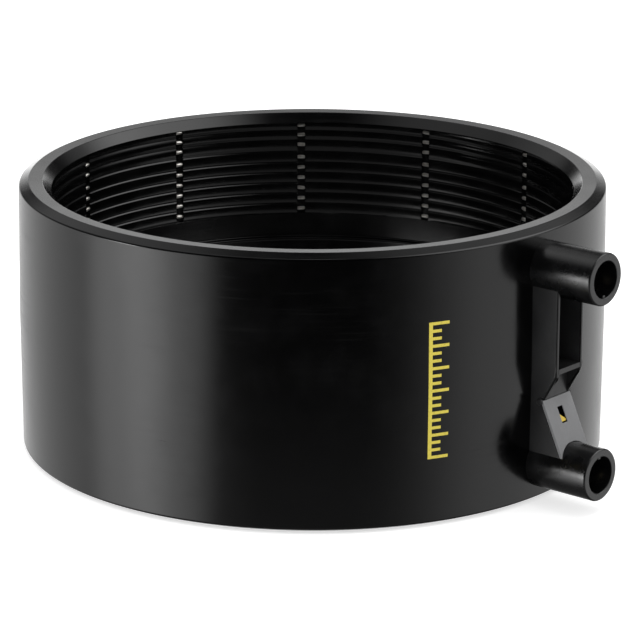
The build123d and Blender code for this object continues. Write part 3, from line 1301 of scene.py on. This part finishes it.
@dataclass
class AlignmentScale:
    """Printed scale on the wall: one upright line with plain ticks, to line up the pipe."""

    sleeve: Sleeve
    angle: float = -25.75
    top: float = 78.6
    bottom: float = 26.4
    width: float = 8.2
    line: float = 1.5
    tick: float = 1.15
    count: int = 19
    every: int = 3
    short: float = 0.62
    lift: float = 0.03
    film: float = 0.15

    def patch(self, draft: Draft, start: float, end: float, low: float, high: float) -> None:
        """Adds one rectangle of ink that follows the wall.

        Args:
            draft: draft of the whole scale.
            start: left edge, in millimetres along the girth from the scale's middle.
            end: right edge.
            low: lower edge, above the lower end.
            high: upper edge.
        """
        across = np.linspace(start, end, max(2, math.ceil((end - start) / 0.8) + 1))
        angles = math.radians(self.angle) + across / self.sleeve.body_radius
        levels = np.linspace(low, high, max(2, math.ceil((high - low) / 6) + 1))
        sheets = []
        for offset in (self.lift, -self.film):
            radius = self.sleeve.outside(levels)[:, None] + offset
            z = np.broadcast_to(levels[:, None], (len(levels), len(angles)))
            sheets.append(np.stack([radius * np.cos(angles), radius * np.sin(angles), z], -1))
        upper, lower = sheets
        draft.grid(upper)
        draft.grid(lower)
        for near, far in ((upper, lower), (upper.swapaxes(0, 1), lower.swapaxes(0, 1))):
            for index in (0, -1):
                draft.grid(np.array([near[index], far[index]]))

    def build(self) -> None:
        """Builds the line and its ticks, each third one long."""
        draft = Draft()
        left = -self.width / 2
        self.patch(draft, left, left + self.line, self.bottom, self.top)
        for index in range(self.count):
            share = index / (self.count - 1)
            middle = self.top - self.tick / 2 - share * (self.top - self.bottom - self.tick)
            reach = self.width * (1.0 if index % self.every == 0 else self.short)
            low, high = middle - self.tick / 2, middle + self.tick / 2
            self.patch(draft, left + self.line, left + reach, low, high)
        finish_piece(draft, "alignment_scale", SCALE_YELLOW)


# ------------------------------------------------------------------------------------ studio


@dataclass(frozen=True)
class SoftLight:
    """A soft area of light in the studio dome.

    Attributes:
        azimuth: direction round the bore, in degrees.
        elevation: direction above the horizon, in degrees.
        core: half-angle of its even middle, in degrees.
        reach: half-angle at which it has faded out, in degrees.
        strength: brightness of the middle.
        squash: how much of the height counts, under 1 for a tall light.
    """

    azimuth: float
    elevation: float
    core: float
    reach: float
    strength: float
    squash: float = 1.0

    def direction(self) -> tuple[float, float, float]:
        """Unit vector towards the light, with its height squashed."""
        azimuth, elevation = math.radians(self.azimuth), math.radians(self.elevation)
        flat = math.cos(elevation)
        vector = Vector(
            (flat * math.cos(azimuth), flat * math.sin(azimuth), math.sin(elevation) * self.squash)
        )
        return tuple(vector.normalized())


@dataclass
class Studio:
    """Pale floor, white backdrop, soft lights and the camera."""

    target: float = 53.0
    azimuth: float = -49.66
    elevation: float = 16.685
    distance: float = 1.4226
    lens: float = 204.5
    shift: Point2 = (0.01228, -0.02115)
    roll: float = 0.17
    ambient: float = 0.85
    lights: tuple[SoftLight, ...] = (
        SoftLight(-125.7, -13.0, 3.0, 23.0, 1.34, 1.6),
        SoftLight(-107.7, -13.0, 3.0, 23.0, 1.28, 1.6),
        SoftLight(-125.7, -3.0, 2.0, 10.0, 10.0),
        SoftLight(40.3, 42.0, 12.0, 40.0, 2.05),
        SoftLight(145.3, 0.0, 3.0, 12.0, 0.6),
        SoftLight(-149.7, 64.0, 8.0, 26.0, 0.50),
        SoftLight(130.3, 2.0, 5.0, 24.0, 0.9),
        SoftLight(170.3, 40.0, 8.0, 30.0, 0.45),
        SoftLight(90.3, 45.0, 8.0, 30.0, 0.45),
        SoftLight(0.0, 89.0, 3.0, 10.0, 1.5),
    )
    front: SoftLight = SoftLight(-49.66, 0.0, 12.0, 72.0, 1.0, 0.25)
    shade: SoftLight = SoftLight(-114.7, 14.0, 10.0, 38.0, 1.0)
    sky_ramp: tuple[float, ...] = (0.0, 0.10, 0.86, 0.03)
    ground_ramp: tuple[float, ...] = (-0.72, -0.42, 0.12, 1.0)
    glow_ramp: tuple[float, ...] = (-0.305, -0.37, 0.0, 0.2)
    floor_rings: tuple[float, ...] = (60.0, 400.0, 1500.0, 6000.0)
    floor_level: float = -0.05
    softbox: tuple[float, ...] = (0.10, 0.25, 1.30)
    softbox_size: float = 0.9
    softbox_power: float = 7.0

    def world(self) -> None:
        """Builds the dome: pale behind, dark in front, with the soft lights in it."""
        world = bpy.data.worlds.new("studio_dome")
        bpy.context.scene.world = world
        graph = Graph(world)
        direction = graph.add("TexCoord").outputs["Generated"]
        height = graph.add("SeparateXYZ", Vector=direction).outputs[2]
        front = self.cap(graph, direction, self.front)
        back = graph.math("SUBTRACT", 1.0, front)
        sky = graph.ramp(height, *self.sky_ramp)
        ground = graph.math("MULTIPLY", sky, graph.ramp(height, *self.ground_ramp))
        clear = graph.math("SUBTRACT", 1.0, self.cap(graph, direction, self.shade))
        dome = graph.math("MULTIPLY", graph.math("MULTIPLY", back, ground), clear)
        glow = graph.math("MULTIPLY", front, graph.ramp(height, *self.glow_ramp))
        dome = graph.math("ADD", dome, glow)
        for light in self.lights:
            dome = graph.math("ADD", dome, self.cap(graph, direction, light))
        path = graph.add("LightPath")
        camera, glossy, passed = (path.outputs[f"Is {kind} Ray"] for kind in RAY_KINDS)
        seen = graph.math("MAXIMUM", camera, passed)
        reflected = graph.math("MULTIPLY", glossy, dome)
        shown = graph.math("MAXIMUM", seen, glossy)
        plain = graph.math("MULTIPLY", graph.math("SUBTRACT", 1.0, shown), self.ambient)
        strength = graph.math("ADD", graph.math("ADD", seen, reflected), plain)
        background = graph.add("Background", Color=(1.0, 1.0, 1.0, 1.0), Strength=strength)
        graph.finish(background, "OutputWorld")

    def cap(
        self, graph: Graph, direction: bpy.types.NodeSocket, light: SoftLight
    ) -> bpy.types.NodeSocket:
        """Adds one soft light to the dome.

        Args:
            graph: graph of the world.
            direction: direction that is looked along.
            light: the light.

        Returns:
            Its brightness in that direction.
        """
        flat = graph.add(
            "VectorMath", {"operation": "MULTIPLY"}, i0=direction, i1=(1.0, 1.0, light.squash)
        )
        unit = graph.add("VectorMath", {"operation": "NORMALIZE"}, i0=flat.outputs[0])
        dot = graph.add(
            "VectorMath", {"operation": "DOT_PRODUCT"}, i0=unit.outputs[0], i1=light.direction()
        )
        outer, inner = math.cos(math.radians(light.reach)), math.cos(math.radians(light.core))
        return graph.ramp(dot.outputs["Value"], outer, inner, 0.0, light.strength)

    def floor(self) -> None:
        """Builds the pale floor, which keeps a light shadow of the coupler."""
        rings = np.array([(radius, self.floor_level) for radius in self.floor_rings])
        rows = lathe(rings, 96)
        draft = Draft()
        draft.grid(rows, closed_columns=True)
        draft.cap(rows[0])
        piece = draft.build("studio_floor")
        material = bpy.data.materials.new("pale_floor")
        graph = Graph(material)
        tone = graph.ramp(graph.noise(graph.place(), 90.0, 3.0), 0.3, 0.7, 0.80, 0.83)
        color = graph.add("CombineColor", Red=tone, Green=tone, Blue=tone).outputs[0]
        matt = graph.add("BsdfDiffuse", Color=color).outputs[0]
        glow = graph.add("Emission", Color=(1.0, 1.0, 1.0, 1.0), Strength=0.62).outputs[0]
        seen = graph.add("AddShader", i0=matt, i1=glow).outputs[0]
        clear = graph.add("BsdfTransparent").outputs[0]
        path = graph.add("LightPath")
        camera, glossy, passed = (path.outputs[f"Is {kind} Ray"] for kind in RAY_KINDS)
        pale = graph.add("MixShader", i0=camera, i1=matt, i2=seen).outputs[0]
        hidden = graph.math("MAXIMUM", glossy, passed)
        graph.finish(graph.add("MixShader", i0=hidden, i1=pale, i2=clear))
        piece.data.materials.append(material)

    def lamp(self) -> None:
        """Adds the soft lamp over the coupler, which shows in no reflection."""
        data = bpy.data.lights.new("overhead_softbox", "AREA")
        data.shape, data.size, data.energy = "SQUARE", self.softbox_size, self.softbox_power
        piece = bpy.data.objects.new("overhead_softbox", data)
        piece.location = self.softbox
        aim = Vector((0.0, 0.0, self.target * MM)) - Vector(self.softbox)
        piece.rotation_euler = aim.to_track_quat("-Z", "Y").to_euler()
        piece.visible_glossy = False
        bpy.context.scene.collection.objects.link(piece)

    def camera(self) -> None:
        """Adds the camera and makes it the scene's own."""
        data = bpy.data.cameras.new("studio_camera")
        data.lens = self.lens
        data.sensor_width = 36.0
        data.shift_x, data.shift_y = self.shift
        piece = bpy.data.objects.new("studio_camera", data)
        azimuth, elevation = math.radians(self.azimuth), math.radians(self.elevation)
        target = Vector((0.0, 0.0, self.target * MM))
        flat, rise = math.cos(elevation), math.sin(elevation)
        offset = Vector((flat * math.cos(azimuth), flat * math.sin(azimuth), rise))
        piece.location = target + offset * self.distance
        turn = (-offset).to_track_quat("-Z", "Y").to_euler()
        turn.rotate_axis("Z", math.radians(self.roll))
        piece.rotation_euler = turn
        bpy.context.scene.collection.objects.link(piece)
        bpy.context.scene.camera = piece

    def build(self) -> None:
        """Builds the whole studio."""
        bpy.context.scene.view_settings.view_transform = "Standard"
        self.world()
        self.floor()
        self.lamp()
        self.camera()


def main() -> None:
    """Builds the coupler's sub-assemblies in order, then the studio."""
    places = {mount["name"]: mount for mount in frame["record"]["mounts"]}
    heights = {side: places[f"{side.name.lower()}_pin"]["pos_m"][2] / MM for side in Side}
    sleeve = Sleeve()
    winding = Winding(sleeve)
    sleeve.build(winding)
    winding.build()
    for side, height in heights.items():
        Shroud(sleeve, side, height).build()
        ContactPin(side, height).build()
    bracket = Bracket(sleeve)
    bracket.build()
    Indicator(bracket, heights[Side.LOWER]).build()
    AlignmentScale(sleeve).build()
    Studio().build()


if __name__ == "__main__":
    logging.basicConfig(level=logging.INFO, format="%(name)s: %(message)s")
    main()
